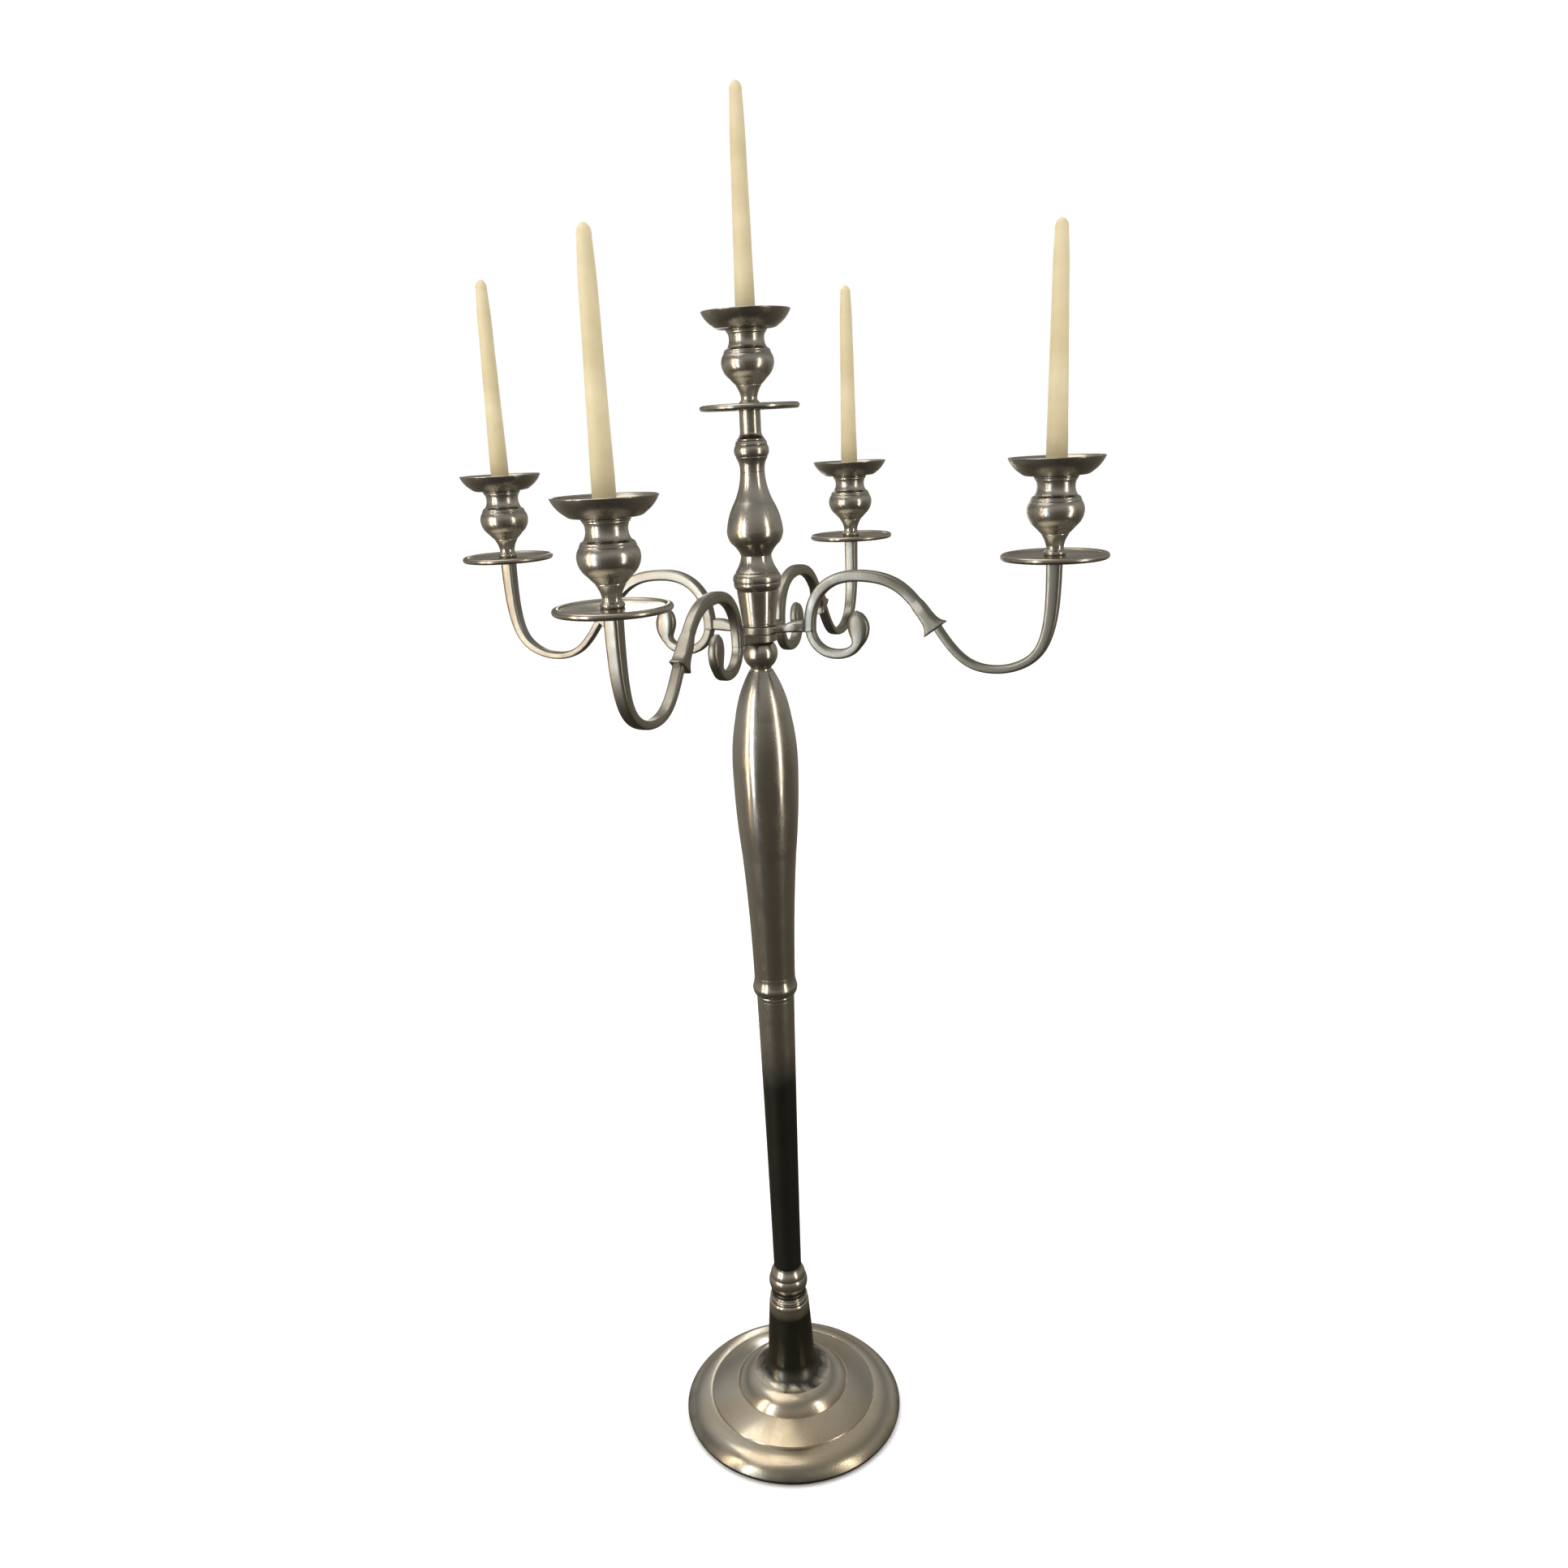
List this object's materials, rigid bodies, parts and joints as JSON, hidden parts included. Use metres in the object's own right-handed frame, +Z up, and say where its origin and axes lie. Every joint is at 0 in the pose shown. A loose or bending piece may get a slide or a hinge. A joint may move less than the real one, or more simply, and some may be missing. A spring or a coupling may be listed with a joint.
{
  "type": "candelabrum",
  "caption": "Floor-standing branched candelabrum of turned and cast polished metal: a round domed base, a baluster stem, S-scroll arms and dished cups with tapered candles",
  "frame": {"origin": "the middle of the floor face, under the stem axis", "axes": "+Z up along the stem; +X along the upper arm pair; the lower arm pair lies along Y"},
  "size_m": [0.8104, 0.8104, 1.7211],
  "materials": {
    "polished_metal": "hand-polished cast metal, faint turning marks and fingerprints",
    "steel": "zinc-plated",
    "brass": "turned",
    "wax": "ivory candle wax, soft satin",
    "felt": "pressed felt"
  },
  "bodies": {
    "stand": {"floor_pads": "felt", "base_dome": "polished_metal", "base_washer": "steel", "base_nut": "steel", "tie_rod": "steel", "base_neck": "polished_metal", "neck_ring": "polished_metal", "stem_foot": "polished_metal", "lower_stem": "polished_metal", "stem_ring": "polished_metal", "upper_stem": "polished_metal", "knop_ball": "polished_metal", "hub_sleeve": "brass", "hub_washer": "polished_metal", "column_socket": "polished_metal", "column_vase": "polished_metal", "column_spindle": "polished_metal", "centre_drip_pan": "polished_metal", "centre_candle_cup": "polished_metal", "centre_cup_stud": "steel"},
    "upper_arms": {"upper_arm_ring": "polished_metal", "right_arm": "polished_metal", "left_arm": "polished_metal", "right_drip_pan": "polished_metal", "right_candle_cup": "polished_metal", "right_cup_stud": "steel", "left_drip_pan": "polished_metal", "left_candle_cup": "polished_metal", "left_cup_stud": "steel"},
    "lower_arms": {"lower_arm_ring": "polished_metal", "front_arm": "polished_metal", "back_arm": "polished_metal", "front_drip_pan": "polished_metal", "front_candle_cup": "polished_metal", "front_cup_stud": "steel", "back_drip_pan": "polished_metal", "back_candle_cup": "polished_metal", "back_cup_stud": "steel"},
    "centre_light": {"centre_candle": "wax"},
    "right_light": {"right_candle": "wax"},
    "left_light": {"left_candle": "wax"},
    "front_light": {"front_candle": "wax"},
    "back_light": {"back_candle": "wax"}
  },
  "joints": [
    {"name": "upper_arms_swivel", "type": "hinge", "parent": "stand", "child": "upper_arms", "pos_m": [0, 0, 1.1316], "axis": [0, 0, 1], "range_deg": [-30, 30]},
    {"name": "lower_arms_swivel", "type": "hinge", "parent": "stand", "child": "lower_arms", "pos_m": [0, 0, 1.1223], "axis": [0, 0, 1], "range_deg": [-30, 30]},
    {"name": "centre_candle_lift", "type": "slide", "parent": "stand", "child": "centre_light", "axis": [0, 0, 1], "range_m": [0, 0.04]},
    {"name": "right_candle_lift", "type": "slide", "parent": "upper_arms", "child": "right_light", "axis": [0, 0, 1], "range_m": [0, 0.04]},
    {"name": "left_candle_lift", "type": "slide", "parent": "upper_arms", "child": "left_light", "axis": [0, 0, 1], "range_m": [0, 0.04]},
    {"name": "front_candle_lift", "type": "slide", "parent": "lower_arms", "child": "front_light", "axis": [0, 0, 1], "range_m": [0, 0.04]},
    {"name": "back_candle_lift", "type": "slide", "parent": "lower_arms", "child": "back_light", "axis": [0, 0, 1], "range_m": [0, 0.04]}
  ]
}
